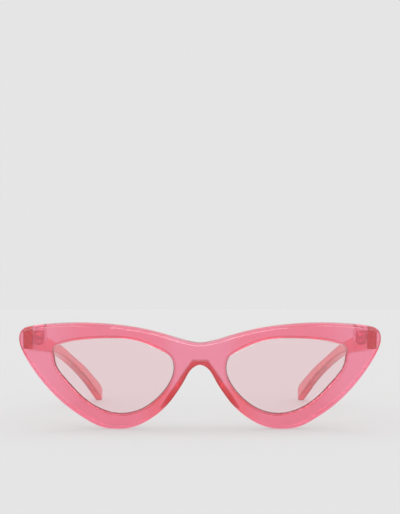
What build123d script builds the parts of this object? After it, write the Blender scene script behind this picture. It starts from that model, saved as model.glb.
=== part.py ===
from build123d import *
import os
from math import cos, radians, sin, sqrt, tan

# Cat eye sunglasses: a moulded front, two lenses and two folding arms on three-barrel hinges.
# Millimetres, +Z up. The glasses stand open on the rims and the tips of the arms, facing -Y, and the
# origin is the middle of the box that they fill, at its base. +X is the wearer's left.
# Left pieces are modelled, and right ones are their mirror images.

# ---- Driving dimensions ------------------------------------------------------------------------------

front_lean = 6.0            # the front tips forward from vertical, degrees
front_y = -73.33            # the lean line on the floor, so that the box is centred on Y
front_z = -0.31             # lets the lowest point of the rims touch the floor
face_radius = 320.0         # the front is bent round a cylinder of this radius
front_thickness = 4.0
front_edge_radius = 1.3     # round edge that faces the viewer
back_edge_radius = 1.0
opening_edge_radius = 0.25
prism_reach = 60.0          # half-length of construction prisms, more than any feature needs

lens_thickness = 1.8
lens_front_depth = 1.1      # from the front's face back to the lens
lens_gap = 0.06             # between the lens and the opening
lens_edge_radius = 0.4
groove_depth = 0.8
groove_front_depth = 1.4    # from the front's face back to the groove
groove_width = 1.2
tongue_depth = 0.7          # the lens's rim, which stands in the groove
tongue_play = 0.05          # on each side of the tongue

ridge_start_depth = 1.8     # the nose ridge starts inside the front's thickness

hinge_x = 65.5              # hinge pin
hinge_height = 35.9
arm_toe_in = 3.5            # the arms converge from the hinge, degrees
seat_depth = 12.2           # from the front's face line back to the arm's seat, at seat_x
seat_x = 72.0
butt_gap = 0.08             # between the arm's butt and its seat
pin_behind_seat = 1.9
pin_inside_arm = 1.85       # from the pin to the arm's inner face

knuckle_radius = 1.5
knuckle_gap = 0.1
middle_knuckle_height = 1.8
end_knuckle_height = 1.7
pin_hole_radius = 0.70
pin_radius = 0.65
screw_head_radius = 1.15
screw_head_height = 0.8
screw_head_play = 0.05
screw_slot_width = 0.35
screw_slot_depth = 0.35

front_leaf_width = 4.2
front_leaf_height = 5.8
front_leaf_thickness = 1.1
front_leaf_offset = -0.9    # the leaf's middle is inboard of the pin
front_leaf_top_corner = 0.6
front_leaf_foot_corner = 1.9
window_width = 2.6          # slot that locks the leaf into the plastic
window_height = 0.9
window_up = 1.95

arm_leaf_start = -1.4       # along the arm, from the pin
arm_leaf_end = 7.6
arm_leaf_height = 4.2
arm_leaf_thickness = 1.0
arm_leaf_corner = 0.6
arm_drop = 13.0             # fall of the arm's middle line from the hinge, degrees

leaf_play = 0.05            # round a leaf or a peg, in the plastic that holds it

peg_radius = 0.5
peg_head_radius = 0.8
peg_head_height = 0.35
peg_length = 2.1
front_peg_heights = (0.5, -1.8)
arm_peg_distances = (3.4, 6.3)

arm_thickness = 4.4
butt_thickness = 3.9        # at the seat
arm_straight = 11.0         # the arm is straight this far behind its seat
arm_edge_radius = 0.9

# ---- Planes ------------------------------------------------------------------------------------------

lean = radians(front_lean)
toe = radians(arm_toe_in)
up = Vector(0, -sin(lean), cos(lean))
back = Vector(0, cos(lean), sin(lean))
front_base = Vector(0, front_y, front_z)

# On all three, a drawing keeps the front's own axes: across, up along the lean, and back.
FRONT_VIEW = Plane(origin=front_base, x_dir=(1, 0, 0), z_dir=-back)
TOP_VIEW = Plane(origin=front_base, x_dir=(1, 0, 0), z_dir=up)
SIDE_VIEW = Plane(origin=front_base, x_dir=back, z_dir=(1, 0, 0))


def seat_depth_at(x):
    return seat_depth + tan(toe) * (x - seat_x)


def place(x, depth, height):
    """A point in the front's own axes."""
    return front_base + Vector(x, 0, 0) + back * depth + up * height


outboard = Vector(cos(toe), 0, 0) + back * sin(toe)
along_arm = Vector(-sin(toe), 0, 0) + back * cos(toe)
seat_middle = place(hinge_x, seat_depth_at(hinge_x), hinge_height)
pin_middle = seat_middle + along_arm * pin_behind_seat

SEAT = Plane(origin=seat_middle, x_dir=-outboard, z_dir=along_arm)
BUTT = Plane(origin=seat_middle, x_dir=outboard, z_dir=-along_arm)
PIN = Plane(origin=pin_middle, x_dir=outboard, z_dir=up)
ARM_FACE = Plane(origin=pin_middle + outboard * pin_inside_arm, x_dir=along_arm, z_dir=outboard)

# ---- Profiles ----------------------------------------------------------------------------------------

# Outline of the front's left half, from the bridge over the brow and round to the nose arch: across
# from the middle and up from the foot of the rims. The right half mirrors it.
front_points = [
    (4.0, 35.5), (11.8, 37.7), (23.5, 40.6), (36.0, 42.15), (48.5, 42.5), (61.0, 41.75), (68.5, 40.65),
    (71.7, 39.3), (73.05, 36.2), (72.1, 31.5), (68.8, 25.4), (62.7, 17.4), (54.7, 9.6), (45.8, 3.6),
    (39.5, 0.7), (33.5, 0.0), (26.5, 0.95), (19.4, 4.5), (13.2, 9.8), (9.2, 15.0), (6.0, 20.2), (3.6, 24.1),
]
bridge_top = (0, 34.9)
arch_top = (0, 26.05)

# Outline of the left lens opening, anticlockwise from its outer side.
opening_points = [
    (59.05, 30.0), (58.5, 32.7), (56.2, 34.0), (48.0, 35.9), (36.5, 36.75), (25.0, 35.85), (16.0, 32.3),
    (11.1, 28.7), (10.2, 24.5), (12.2, 18.5), (17.5, 12.1), (24.0, 7.8), (31.5, 6.2), (39.5, 7.8),
    (47.0, 12.4), (53.6, 19.1), (57.8, 24.6),
]
outline_steps = 60          # a shifted outline is redrawn through this many of its points

# The nose ridge, outside its inner edge, and how far back it stands at each height.
ridge_flat = (3.2, 27.3)
ridge_points = [(7.5, 21.2), (10.6, 16.4), (14.0, 11.4)]
ridge_end = (18.0, 5.6)
ridge_back_points = [(3.2, 6.0), (8.4, 12.0), (10.2, 18.0), (9.6, 24.0), (8.6, 28.5)]

# The arm seen from the side, behind its straight stretch: the top and the foot of matching sections,
# as depth behind the front's face line and height.
arm_top_points = [
    (23.0, 37.2), (45.7, 31.3), (67.0, 25.6), (86.0, 19.1), (102.5, 13.0), (119.0, 6.5), (134.5, -0.8),
    (143.5, -5.2), (147.9, -8.2), (149.6, -10.9), (149.7, -12.9),
]
arm_foot_points = [
    (22.6, 29.0), (44.3, 25.1), (65.9, 21.0), (84.9, 15.1), (101.2, 8.8), (117.3, 1.6), (132.1, -6.3),
    (140.5, -11.3), (144.8, -13.9), (147.2, -15.2), (148.8, -14.6),
]
arm_stations = 26
butt_middle = 35.3
butt_height = 8.3
straight_middle = 33.1
straight_height = 8.2
tip_thinning = 0.5          # the arm is this much thinner near its tip
tip_round_start = 0.96      # share of the arm's length behind which it rounds off
tip_end_share = 0.4         # the arm's thickness at its very end, as a share of what it is before that
arm_bend = 0.00056          # sideways bend behind the straight stretch, per mm


def half_front_outline():
    mirrored = [(-x, y) for x, y in reversed(front_points)]
    with BuildSketch(FRONT_VIEW) as outline:
        with BuildLine():
            Spline(bridge_top, *front_points, arch_top, *mirrored, periodic=True)
        make_face()
        split(bisect_by=Plane.YZ, keep=Keep.TOP)
    return outline.sketch


def lens_outline(margin):
    """The lens opening's outline, moved outwards by a margin."""
    with BuildLine() as opening:
        loop = Spline(*opening_points, periodic=True)
    moved = []
    for step in range(outline_steps):
        along = loop % (step / outline_steps)
        moved.append(loop @ (step / outline_steps) + Vector(along.Y, -along.X) * margin)
    with BuildSketch(FRONT_VIEW) as outline:
        with BuildLine():
            Spline(*moved, periodic=True)
        make_face()
    return outline.sketch


def shell_section(front_depth, back_depth):
    """Section from above of what lies between two depths behind the bent front's face."""
    with BuildSketch(TOP_VIEW) as section:
        with Locations((0, face_radius)):
            Circle(face_radius - front_depth)
            Circle(face_radius - back_depth, mode=Mode.SUBTRACT)
    return section.sketch


def lens_disc(margin, front_depth, back_depth):
    """A bent disc of the lens outline between two depths behind the front's face."""
    with BuildPart() as disc:
        extrude(lens_outline(margin), amount=prism_reach, both=True)
        extrude(shell_section(front_depth, back_depth), amount=prism_reach, both=True, mode=Mode.INTERSECT)
    return disc.part


def arm_leaf_profile(play):
    """The arm's hinge leaf, on the arm's inner face, with some play round it. It falls with the arm."""
    start = arm_leaf_start - play
    end = arm_leaf_end + play
    fall_start = tan(radians(arm_drop)) * start
    fall_end = tan(radians(arm_drop)) * end
    half = arm_leaf_height / 2 + play
    with BuildSketch(ARM_FACE) as profile:
        with BuildLine():
            Polyline(
                (start, half - fall_start),
                (end, half - fall_end),
                (end, -half - fall_end),
                (start, -half - fall_start),
                close=True,
            )
        make_face()
        fillet(profile.vertices(), radius=arm_leaf_corner + play)
    return profile.sketch


def front_leaf_profile(play):
    """The front's hinge leaf, with some play round it: squarer at the top, rounded off at its foot."""
    with BuildSketch(SEAT) as profile:
        with Locations((-front_leaf_offset, 0)):
            Rectangle(front_leaf_width + 2 * play, front_leaf_height + 2 * play)
        corners = profile.vertices().sort_by(Axis.Y)
        fillet(corners[:2], radius=front_leaf_foot_corner + play)
        fillet(corners[2:], radius=front_leaf_top_corner + play)
    return profile.sketch


def arm_peg_spots():
    return [(distance, -tan(radians(arm_drop)) * distance) for distance in arm_peg_distances]


def front_peg_spots():
    return [(-front_leaf_offset, height) for height in front_peg_heights]


def peg_solids(plane, spots, inward):
    """Pegs that stand in from a leaf's outer face, along the plane's normal or (-1) against it."""
    with BuildPart() as pegs:
        with BuildSketch(plane):
            with Locations(spots):
                Circle(peg_radius)
        extrude(amount=inward * peg_length)
        with BuildSketch(plane):
            with Locations(spots):
                Circle(peg_head_radius)
        extrude(amount=inward * peg_head_height)
    return pegs.part


# ---- Front -------------------------------------------------------------------------------------------

lens_groove = lens_disc(groove_depth, groove_front_depth, groove_front_depth + groove_width)

with BuildPart() as nose_ridge:
    extrude(half_front_outline(), amount=-prism_reach)
    with BuildSketch(FRONT_VIEW):
        with BuildLine():
            outer = Spline(ridge_flat, *ridge_points, ridge_end, tangents=[(0.6, -0.8), (0.6, -0.8)])
            Polyline(ridge_flat, (0, ridge_flat[1]), (0, ridge_end[1]), ridge_end)
        make_face()
    extrude(amount=prism_reach, both=True, mode=Mode.INTERSECT)
    with BuildSketch(SIDE_VIEW):
        with BuildLine():
            ridge_back = Spline(*ridge_back_points)
            Polyline(
                ridge_back @ 1,
                (ridge_start_depth, ridge_back_points[-1][1]),
                (ridge_start_depth, ridge_back_points[0][1]),
                ridge_back @ 0,
            )
        make_face()
    extrude(amount=prism_reach, mode=Mode.INTERSECT)

with BuildPart() as hinge_boss:
    with BuildSketch(FRONT_VIEW):
        with Locations((66.8, 35.35)):
            RectangleRounded(10.2, 8.7, 1.2)
    extrude(amount=-(seat_depth + 3))
    split(bisect_by=SEAT, keep=Keep.BOTTOM)
    with BuildSketch(TOP_VIEW):
        with Locations((hinge_x, seat_depth + 1)):
            Rectangle(20, 10)
    extrude(amount=prism_reach, mode=Mode.INTERSECT)

with BuildPart() as half_front:
    extrude(half_front_outline(), amount=prism_reach, both=True)
    extrude(shell_section(0, front_thickness), amount=prism_reach, both=True, mode=Mode.INTERSECT)
    extrude(lens_outline(0), amount=prism_reach, both=True, mode=Mode.SUBTRACT)
    for radius, edge_radius in (
        (face_radius, front_edge_radius),
        (face_radius - front_thickness, back_edge_radius),
    ):
        faces = half_front.faces().filter_by(GeomType.CYLINDER)
        bent_face = faces.sort_by(lambda face: abs(face.radius - radius))[0]
        fillet(bent_face.outer_wire().edges().filter_by(lambda edge: edge.center().X > 1), edge_radius)
        faces = half_front.faces().filter_by(GeomType.CYLINDER)
        bent_face = faces.sort_by(lambda face: abs(face.radius - radius))[0]
        fillet(bent_face.inner_wires()[0].edges(), opening_edge_radius)
    add(nose_ridge.part)
    add(hinge_boss.part)
    add(lens_groove, mode=Mode.SUBTRACT)
    pocket_depth = front_leaf_thickness + leaf_play
    extrude(front_leaf_profile(leaf_play), amount=pocket_depth, both=True, mode=Mode.SUBTRACT)
    with BuildSketch(SEAT):
        with Locations(front_peg_spots()):
            Circle(peg_radius + leaf_play)
    extrude(amount=peg_length + leaf_play, both=True, mode=Mode.SUBTRACT)

with BuildPart() as frame_front:
    add(half_front.part)
    mirror(half_front.part, about=Plane.YZ)

# ---- Lens --------------------------------------------------------------------------------------------

lens_body = lens_disc(-lens_gap, lens_front_depth, lens_front_depth + lens_thickness)
lens_tongue = lens_disc(
    tongue_depth, groove_front_depth + tongue_play, groove_front_depth + groove_width - tongue_play
)

with BuildPart() as lens:
    add(lens_body)
    faces = lens.faces().filter_by(GeomType.CYLINDER)
    bent_face = faces.sort_by(lambda face: abs(face.radius - face_radius + lens_front_depth))[0]
    fillet(bent_face.outer_wire().edges(), lens_edge_radius)
    add(lens_tongue)

# ---- Arm ---------------------------------------------------------------------------------------------

inner_start = Vector(hinge_x, seat_depth_at(hinge_x)) + Vector(cos(toe), sin(toe)) * pin_inside_arm


def arm_inner_x(depth):
    """Across from the middle to the arm's inner face: straight, then a gentle bend towards the tip."""
    bent = max(0.0, depth - inner_start.Y - arm_straight)
    return inner_start.X - tan(toe) * (depth - inner_start.Y) - arm_bend * bent**2


with BuildPart() as temple:
    for distance, middle, height, thickness in (
        (butt_gap, butt_middle, butt_height, butt_thickness),
        (arm_straight, straight_middle, straight_height, arm_thickness),
    ):
        with BuildSketch(BUTT.offset(-distance)):
            with Locations((pin_inside_arm + thickness / 2, middle - hinge_height)):
                RectangleRounded(thickness, height, arm_edge_radius)
    with BuildLine(mode=Mode.PRIVATE):
        top_line = Spline(*arm_top_points)
        foot_line = Spline(*arm_foot_points)
    for station in range(1, arm_stations + 1):
        share = sin(radians(90 * station / arm_stations))
        top = top_line @ share
        foot = foot_line @ share
        middle = (top + foot) / 2
        rounding = min(1.0, max(0.0, (share - tip_round_start) / (1 - tip_round_start)))
        full_thickness = arm_thickness - tip_thinning * share
        thickness = full_thickness * (tip_end_share + (1 - tip_end_share) * sqrt(1 - rounding**2))
        across = arm_inner_x(middle.X) + full_thickness / 2
        rise = up * (top - foot).Y + back * (top - foot).X
        section = Plane(
            origin=place(across, middle.X, middle.Y), x_dir=(1, 0, 0), z_dir=Vector(1, 0, 0).cross(rise)
        )
        with BuildSketch(section):
            RectangleRounded(thickness, (top - foot).length, min(arm_edge_radius, thickness * 0.4))
    loft(ruled=True)
    extrude(arm_leaf_profile(leaf_play), amount=arm_leaf_thickness + leaf_play, both=True, mode=Mode.SUBTRACT)
    with BuildSketch(ARM_FACE):
        with Locations(arm_peg_spots()):
            Circle(peg_radius + leaf_play)
    extrude(amount=peg_length + leaf_play, both=True, mode=Mode.SUBTRACT)

# ---- Hinge -------------------------------------------------------------------------------------------

stack_half = middle_knuckle_height / 2 + knuckle_gap + end_knuckle_height

with BuildPart() as front_hinge_leaf:
    extrude(front_leaf_profile(0), amount=-front_leaf_thickness)
    with BuildSketch(SEAT):
        with Locations((-front_leaf_offset, window_up)):
            SlotOverall(window_width, window_height)
    extrude(amount=2 * front_leaf_thickness, both=True, mode=Mode.SUBTRACT)
    for start in (middle_knuckle_height / 2 + knuckle_gap, -stack_half):
        with BuildSketch(PIN.offset(start)):
            Circle(knuckle_radius)
            with Locations((0, -pin_behind_seat / 2)):
                Rectangle(2 * knuckle_radius, pin_behind_seat)
        extrude(amount=end_knuckle_height)
    with BuildSketch(PIN):
        Circle(pin_hole_radius)
    extrude(amount=stack_half, both=True, mode=Mode.SUBTRACT)
    with BuildSketch(PIN.offset(stack_half)):
        Circle(screw_head_radius + screw_head_play)
    extrude(amount=-screw_head_height, mode=Mode.SUBTRACT)
    add(peg_solids(SEAT, front_peg_spots(), -1), mode=Mode.SUBTRACT)

with BuildPart() as temple_hinge_leaf:
    extrude(arm_leaf_profile(0), amount=arm_leaf_thickness)
    with BuildSketch(PIN):
        Circle(knuckle_radius)
        with Locations((pin_inside_arm / 2 + 0.1, 0)):
            Rectangle(pin_inside_arm + 0.2, 2 * knuckle_radius - 0.2)
    extrude(amount=middle_knuckle_height / 2, both=True)
    with BuildSketch(PIN):
        Circle(pin_hole_radius)
    extrude(amount=middle_knuckle_height, both=True, mode=Mode.SUBTRACT)
    add(peg_solids(ARM_FACE, arm_peg_spots(), 1), mode=Mode.SUBTRACT)

with BuildPart() as hinge_screw:
    with BuildSketch(PIN.offset(-stack_half)):
        Circle(pin_radius)
    extrude(amount=2 * stack_half)
    with BuildSketch(PIN.offset(stack_half)):
        Circle(screw_head_radius)
    extrude(amount=-screw_head_height)
    with BuildSketch(PIN.offset(stack_half)):
        Rectangle(screw_slot_width, 2 * screw_head_radius)
    extrude(amount=-screw_slot_depth, mode=Mode.SUBTRACT)

with BuildPart() as front_hinge_rivets:
    add(peg_solids(SEAT, front_peg_spots(), -1))

with BuildPart() as temple_hinge_rivets:
    add(peg_solids(ARM_FACE, arm_peg_spots(), 1))

# ---- Files -------------------------------------------------------------------------------------------

os.makedirs("parts", exist_ok=True)

frame_front.part.label = "frame_front"
export_step(frame_front.part, "parts/frame_front.step")

for name, left in (
    ("lens", lens),
    ("temple", temple),
    ("front_hinge_leaf", front_hinge_leaf),
    ("temple_hinge_leaf", temple_hinge_leaf),
    ("hinge_screw", hinge_screw),
    ("front_hinge_rivets", front_hinge_rivets),
    ("temple_hinge_rivets", temple_hinge_rivets),
):
    with BuildPart() as right:
        mirror(left.part, about=Plane.YZ)
    left.part.label = name + "_left"
    right.part.label = name + "_right"
    export_step(left.part, f"parts/{left.part.label}.step")
    export_step(right.part, f"parts/{right.part.label}.step")
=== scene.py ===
"""Cat eye sunglasses: materials for the CAD pieces, a pale studio, and a camera in front of them."""

import math

import bpy
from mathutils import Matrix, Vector


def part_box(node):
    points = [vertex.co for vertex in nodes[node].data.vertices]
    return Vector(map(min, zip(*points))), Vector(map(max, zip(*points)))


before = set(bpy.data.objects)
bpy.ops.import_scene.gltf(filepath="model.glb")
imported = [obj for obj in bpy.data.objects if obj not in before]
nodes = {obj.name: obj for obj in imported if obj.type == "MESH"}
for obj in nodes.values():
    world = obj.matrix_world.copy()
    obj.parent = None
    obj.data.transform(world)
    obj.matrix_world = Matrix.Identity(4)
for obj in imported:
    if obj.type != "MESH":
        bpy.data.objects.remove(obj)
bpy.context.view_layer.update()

SIDES = ("left", "right")
WHITE = (1.0, 1.0, 1.0, 1.0)


def linear(value):
    """An sRGB level from 0 to 255 as linear light."""
    share = value / 255
    return share / 12.92 if share <= 0.04045 else ((share + 0.055) / 1.055) ** 2.4


def colour(red, green, blue):
    """An sRGB colour, with levels from 0 to 255, as the linear colour that a socket takes."""
    return (linear(red), linear(green), linear(blue), 1.0)


# ---- Materials ---------------------------------------------------------------------------------------


class Material:
    """A node material. Methods that return a socket leave their node's result there for the next node."""

    def __init__(self, name):
        self.material = bpy.data.materials.new(name)
        self.material.use_nodes = True
        self.tree = self.material.node_tree
        self.shader = self.tree.nodes["Principled BSDF"]
        self.output = self.tree.nodes["Material Output"]

    def add(self, kind, **attributes):
        node = self.tree.nodes.new(kind)
        for name, value in attributes.items():
            setattr(node, name, value)
        return node

    def link(self, source, target):
        self.tree.links.new(source, target)

    def set(self, **values):
        """Plain values on the shader's own sockets."""
        for name, value in values.items():
            self.shader.inputs[name.replace("_", " ")].default_value = value

    def axes(self, kind):
        """The X, Y and Z sockets of the object's own coordinates (Object) or surface normal (Normal)."""
        place = self.add("ShaderNodeTexCoord")
        parts = self.add("ShaderNodeSeparateXYZ")
        self.link(place.outputs[kind], parts.inputs["Vector"])
        return parts.outputs["X"], parts.outputs["Y"], parts.outputs["Z"]

    def noise(self, scale, detail, roughness=0.5):
        place = self.add("ShaderNodeTexCoord")
        noise = self.add("ShaderNodeTexNoise")
        noise.inputs["Scale"].default_value = scale
        noise.inputs["Detail"].default_value = detail
        noise.inputs["Roughness"].default_value = roughness
        self.link(place.outputs["Object"], noise.inputs["Vector"])
        return noise.outputs["Fac"]

    def remap(self, source, limits, levels, interpolation):
        remap = self.add("ShaderNodeMapRange", interpolation_type=interpolation)
        sockets = ("From Min", "From Max", "To Min", "To Max")
        for socket, value in zip(sockets, limits + levels):
            remap.inputs[socket].default_value = value
        self.link(source, remap.inputs["Value"])
        return remap.outputs["Result"]

    def spread(self, source, low, high):
        """A noise value moved from its usual 0.3 to 0.7 to between low and high."""
        return self.remap(source, (0.3, 0.7), (low, high), "LINEAR")

    def step(self, source, limits, levels):
        """A smooth step from one level to another as a value goes between two limits."""
        return self.remap(source, limits, levels, "SMOOTHSTEP")

    def bump(self, source, distance, before=None):
        bump = self.add("ShaderNodeBump")
        bump.inputs["Distance"].default_value = distance
        self.link(source, bump.inputs["Height"])
        if before is not None:
            self.link(before, bump.inputs["Normal"])
        return bump.outputs["Normal"]

    def math(self, operation, *sources):
        node = self.add("ShaderNodeMath", operation=operation)
        for socket, source in zip(node.inputs, sources):
            if isinstance(source, float):
                socket.default_value = source
            else:
                self.link(source, socket)
        return node.outputs["Value"]

    def product(self, first, *others):
        for other in others:
            first = self.math("MULTIPLY", first, other)
        return first

    def blend_colour(self, factor, first, second):
        mix = self.add("ShaderNodeMix", data_type="RGBA")
        self.link(factor, mix.inputs["Factor"])
        for socket, source in ((mix.inputs[6], first), (mix.inputs[7], second)):
            if isinstance(source, tuple):
                socket.default_value = source
            else:
                self.link(source, socket)
        return mix.outputs[2]

    def absorb(self, tint, density):
        volume = self.add("ShaderNodeVolumeAbsorption")
        volume.inputs["Color"].default_value = tint
        volume.inputs["Density"].default_value = density
        self.link(volume.outputs["Volume"], self.output.inputs["Volume"])


# Translucent plastic. The scales are noise cells per metre, the heights are in metres.
PLASTIC_IOR = 1.49
CLOUD_SCALE = 60.0
RIPPLE_SCALE = 120.0
RIPPLE_HEIGHT = 0.00006
MARK_SCALE = 1900.0
MARK_HEIGHT = 0.000002
POLISH = (0.04, 0.10)


def moulded_plastic(name, light, deep, transmission, absorb_tint, absorb_density):
    """Polished translucent plastic: faint clouds between two tones, moulding ripples and fine marks."""
    plastic = Material(name)
    plastic.set(Transmission_Weight=transmission, IOR=PLASTIC_IOR, Specular_IOR_Level=0.5)
    clouds = plastic.spread(plastic.noise(CLOUD_SCALE, 2.0), 0.0, 1.0)
    tone = plastic.blend_colour(clouds, light, deep)
    marks = plastic.noise(MARK_SCALE, 3.0, 0.6)
    plastic.link(plastic.spread(marks, *POLISH), plastic.shader.inputs["Roughness"])
    ripples = plastic.bump(plastic.noise(RIPPLE_SCALE, 1.0), RIPPLE_HEIGHT)
    plastic.link(plastic.bump(marks, MARK_HEIGHT, before=ripples), plastic.shader.inputs["Normal"])
    plastic.absorb(absorb_tint, absorb_density)
    return plastic, tone


# The front's face leans, meets the floor at this Y, and is bent round a cylinder.
LEAN = math.radians(6.0)
FACE_LINE = -0.07333
FACE_RADIUS = 0.320

RIM_TONE = (1.0, 0.575, 0.63, 1.0)
NASAL_TONE = (1.0, 0.44, 0.45, 1.0)
# Deep red of the nose pads, also used as painted shade on the side wall towards the nose.
PAD_TONE_AND_FLANK_SHADE = (0.55, 0.01, 0.012, 1.0)


def colour_front():
    """The front: paler at the bridge and the flared corners, deeper round the rims and in the nose pads,
    with painted shade on its side wall towards the nose.
    """
    plastic, tone = moulded_plastic(
        "front_plastic",
        light=(1.0, 0.74, 0.80, 1.0),
        deep=(1.0, 0.70, 0.76, 1.0),
        transmission=0.94,
        absorb_tint=(1.0, 0.0, 0.33, 1.0),
        absorb_density=240.0,
    )
    x, y, z = plastic.axes("Object")
    across = plastic.math("ABSOLUTE", x)

    # Between the bridge and the flared corner.
    rim = plastic.product(
        plastic.step(across, (0.008, 0.018), (0.0, 1.0)),
        plastic.step(across, (0.045, 0.062), (1.0, 0.0)),
    )

    # The lower part of the rim, beside the nose.
    nasal = plastic.product(
        plastic.step(across, (0.009, 0.0125), (0.0, 1.0)),
        plastic.step(across, (0.016, 0.026), (1.0, 0.0)),
        plastic.step(z, (0.013, 0.021), (1.0, 0.0)),
    )

    # The nose pads stand deeper behind the face than the front is thick, and fade out at their foot.
    bend = plastic.product(across, across, -0.5 / FACE_RADIUS)
    behind = plastic.product(plastic.math("SUBTRACT", y, FACE_LINE), math.cos(LEAN))
    rise = plastic.product(z, math.sin(LEAN))
    depth = plastic.math("ADD", plastic.math("ADD", behind, rise), bend)
    pads = plastic.product(
        plastic.step(depth, (0.0040, 0.0052), (0.0, 1.0)),
        plastic.step(across, (0.0125, 0.0185), (1.0, 0.12)),
    )

    # Painted shade on the front's side wall towards the nose, darker where the surface faces the nose.
    outward = plastic.product(plastic.axes("Normal")[0], plastic.math("SIGN", x))
    painted_flank_shade = plastic.product(
        plastic.step(outward, (-0.75, -0.35), (0.8, 0.0)),
        plastic.step(across, (0.022, 0.036), (1.0, 0.0)),
    )

    tone = plastic.blend_colour(rim, tone, RIM_TONE)
    tone = plastic.blend_colour(nasal, tone, NASAL_TONE)
    # Deep red in the nose pads, and painted shade on the side wall towards the nose.
    tone = plastic.blend_colour(plastic.math("MAXIMUM", pads, painted_flank_shade), tone, PAD_TONE_AND_FLANK_SHADE)
    plastic.link(tone, plastic.shader.inputs["Base Color"])
    return plastic.material


# Painted shade at the arm's butt, where it meets the front.
BUTT_SHADE_TONE = (1.0, 0.10, 0.11, 1.0)
BUTT_FADE = 0.006


def colour_arms():
    """The arms: painted shade makes them deeper red at the butt, where they meet the front."""
    plastic, tone = moulded_plastic(
        "arm_plastic",
        light=(1.0, 0.42, 0.47, 1.0),
        deep=(1.0, 0.37, 0.42, 1.0),
        transmission=0.70,
        absorb_tint=(1.0, 0.0, 0.20, 1.0),
        absorb_density=200.0,
    )
    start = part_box("temple_left")[0].y
    # Painted shade fading out along the arm from the butt.
    butt_shade = plastic.step(plastic.axes("Object")[1], (start, start + BUTT_FADE), (1.0, 0.0))
    plastic.link(plastic.blend_colour(butt_shade, tone, BUTT_SHADE_TONE), plastic.shader.inputs["Base Color"])
    return plastic.material


LENS_IOR = 1.45
# Painted shade: a dark line along the lens's edge.
LENS_EDGE_SHADE = (0.03, 0.01, 0.012, 1.0)


def tinted_lens():
    """Pale pink lens, clear and smooth, with the faintest waviness and a painted dark shade line round its
    edge, fainter at the top.
    """
    lens = Material("lens_tint")
    lens.set(Transmission_Weight=1.0, IOR=LENS_IOR, Specular_IOR_Level=0.35)
    tint = lens.blend_colour(lens.noise(60.0, 1.0), (1.0, 0.98, 0.98, 1.0), WHITE)
    _, facing_back, facing_up = lens.axes("Normal")
    # Painted shade on the edge, where the surface faces neither front nor back, fainter where it faces up.
    painted_edge_shade = lens.product(
        lens.step(lens.math("ABSOLUTE", facing_back), (0.88, 0.97), (1.0, 0.0)),
        lens.step(facing_up, (0.0, 0.5), (1.0, 0.2)),
    )
    lens.link(lens.blend_colour(painted_edge_shade, tint, LENS_EDGE_SHADE), lens.shader.inputs["Base Color"])
    lens.link(lens.spread(lens.noise(1400.0, 2.0), 0.0, 0.03), lens.shader.inputs["Roughness"])
    lens.link(lens.bump(lens.noise(60.0, 0.0), 0.00001), lens.shader.inputs["Normal"])
    lens.absorb((0.89, 0.08, 0.20, 1.0), 150.0)
    return lens.material


GRAIN_HEIGHT = 0.000008


def metal(name, base, worn, roughness, grain):
    """Satin or bright metal with a fine grain, and a mottled polish."""
    finish = Material(name)
    finish.set(Metallic=1.0)
    mottle = finish.spread(finish.noise(900.0, 4.0, 0.6), 0.0, 1.0)
    finish.link(finish.blend_colour(mottle, base, worn), finish.shader.inputs["Base Color"])
    polish = finish.spread(finish.noise(grain, 4.0), roughness * 0.7, roughness * 1.3)
    finish.link(polish, finish.shader.inputs["Roughness"])
    finish.link(finish.bump(finish.noise(grain, 3.0), GRAIN_HEIGHT), finish.shader.inputs["Normal"])
    return finish.material


front_plastic = colour_front()
arm_plastic = colour_arms()
lens_tint = tinted_lens()
hinge_metal = metal("hinge_metal", colour(212, 200, 196), colour(192, 180, 176), 0.30, 5000.0)
screw_steel = metal("screw_steel", colour(215, 215, 217), colour(190, 190, 193), 0.20, 6000.0)
peg_metal = metal("peg_metal", colour(190, 180, 176), colour(168, 158, 154), 0.38, 5000.0)

FINISHES = {
    "frame_front": front_plastic,
    "lens": lens_tint,
    "temple": arm_plastic,
    "front_hinge_leaf": hinge_metal,
    "temple_hinge_leaf": hinge_metal,
    "hinge_screw": screw_steel,
    "front_hinge_rivets": peg_metal,
    "temple_hinge_rivets": peg_metal,
}

for name, node in nodes.items():
    kind = name
    for side in SIDES:
        kind = kind.removesuffix("_" + side)
    node.data.materials.clear()
    node.data.materials.append(FINISHES[kind])

# ---- Floor, world, lights ----------------------------------------------------------------------------

BACKDROP = linear(229)
OVERHEAD_GAIN = 2.0         # how much brighter the sky is overhead than round the horizon
OVERHEAD_START = 0.45       # height on the sky, as the sine of the elevation
OVERHEAD_END = 0.85

# The floor glows a little, so that it is as pale as the sky and its shadows stay faint.
FLOOR_HALF = 6.0
FLOOR_SHARE = 0.305
FLOOR_GLOW = 0.368

SOFTBOX_ELEVATION = 6.0
SOFTBOX_SPREAD = 30.0
SOFTBOXES = (("front", 0.0, 1.4), ("left", 35.0, 0.6), ("right", -35.0, 0.6))

bpy.ops.mesh.primitive_plane_add(size=2 * FLOOR_HALF, location=(0, 0, 0))
floor = bpy.context.object
floor.name = "floor"
paper = Material("floor_paper")
paper.set(Roughness=0.9, Specular_IOR_Level=0.1)
paper.set(Emission_Color=WHITE, Emission_Strength=FLOOR_GLOW)
paper.set(Base_Color=(FLOOR_SHARE, FLOOR_SHARE, FLOOR_SHARE, 1.0))
floor.data.materials.append(paper.material)


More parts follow.
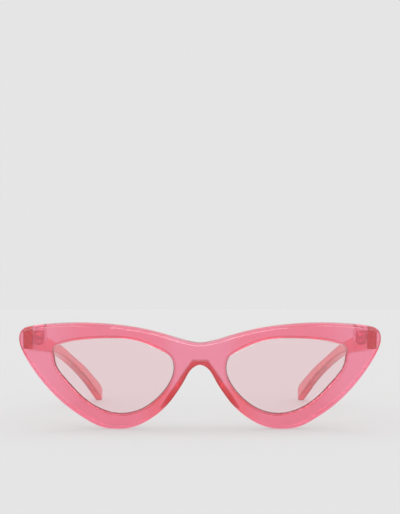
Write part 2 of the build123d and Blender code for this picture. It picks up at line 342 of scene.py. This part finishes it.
def studio_sky():
    """A pale studio: even all round the horizon, brighter overhead."""
    world = bpy.data.worlds.new("studio")
    bpy.context.scene.world = world
    world.use_nodes = True
    sky = world.node_tree
    direction = sky.nodes.new("ShaderNodeTexCoord")
    parts = sky.nodes.new("ShaderNodeSeparateXYZ")
    sky.links.new(direction.outputs["Generated"], parts.inputs["Vector"])
    overhead = sky.nodes.new("ShaderNodeMapRange")
    overhead.interpolation_type = "SMOOTHSTEP"
    for socket, value in (
        ("From Min", OVERHEAD_START),
        ("From Max", OVERHEAD_END),
        ("To Min", BACKDROP),
        ("To Max", BACKDROP * OVERHEAD_GAIN),
    ):
        overhead.inputs[socket].default_value = value
    sky.links.new(parts.outputs["Z"], overhead.inputs["Value"])
    sky.links.new(overhead.outputs["Result"], sky.nodes["Background"].inputs["Strength"])
    sky.nodes["Background"].inputs["Color"].default_value = WHITE


def soft_sun(name, azimuth, strength):
    """Even light from one direction, as from a large softbox. Azimuth 0 is the viewer's side."""
    data = bpy.data.lights.new(name, "SUN")
    data.energy = strength
    data.angle = math.radians(SOFTBOX_SPREAD)
    light = bpy.data.objects.new(name, data)
    turn = math.radians(azimuth)
    rise = math.radians(SOFTBOX_ELEVATION)
    towards = Vector((math.sin(turn) * math.cos(rise), -math.cos(turn) * math.cos(rise), math.sin(rise)))
    light.rotation_euler = towards.to_track_quat("Z", "Y").to_euler()
    bpy.context.scene.collection.objects.link(light)


studio_sky()
for name, azimuth, strength in SOFTBOXES:
    soft_sun(name + "_softbox", azimuth, strength)

# ---- Camera ------------------------------------------------------------------------------------------

SENSOR = 36.0
LENS = 87.5486              # for the picture's longer side, which is its height
CAMERA_DISTANCE = 0.57333   # in front of the object's middle
CAMERA_HEIGHT = 0.052
CAMERA_TILT = 1.924414      # upwards, degrees

camera_data = bpy.data.cameras.new("camera")
camera_data.sensor_fit = "AUTO"
camera_data.sensor_width = SENSOR
camera_data.lens = LENS
camera_data.clip_start = 0.01
camera_data.clip_end = 50.0
camera = bpy.data.objects.new("camera", camera_data)
camera.location = (0.0, -CAMERA_DISTANCE, CAMERA_HEIGHT)
camera.rotation_euler = (math.pi / 2 + math.radians(CAMERA_TILT), 0.0, 0.0)
bpy.context.scene.collection.objects.link(camera)
bpy.context.scene.camera = camera

bpy.context.scene.view_settings.view_transform = "Standard"
bpy.context.scene.view_settings.look = "None"
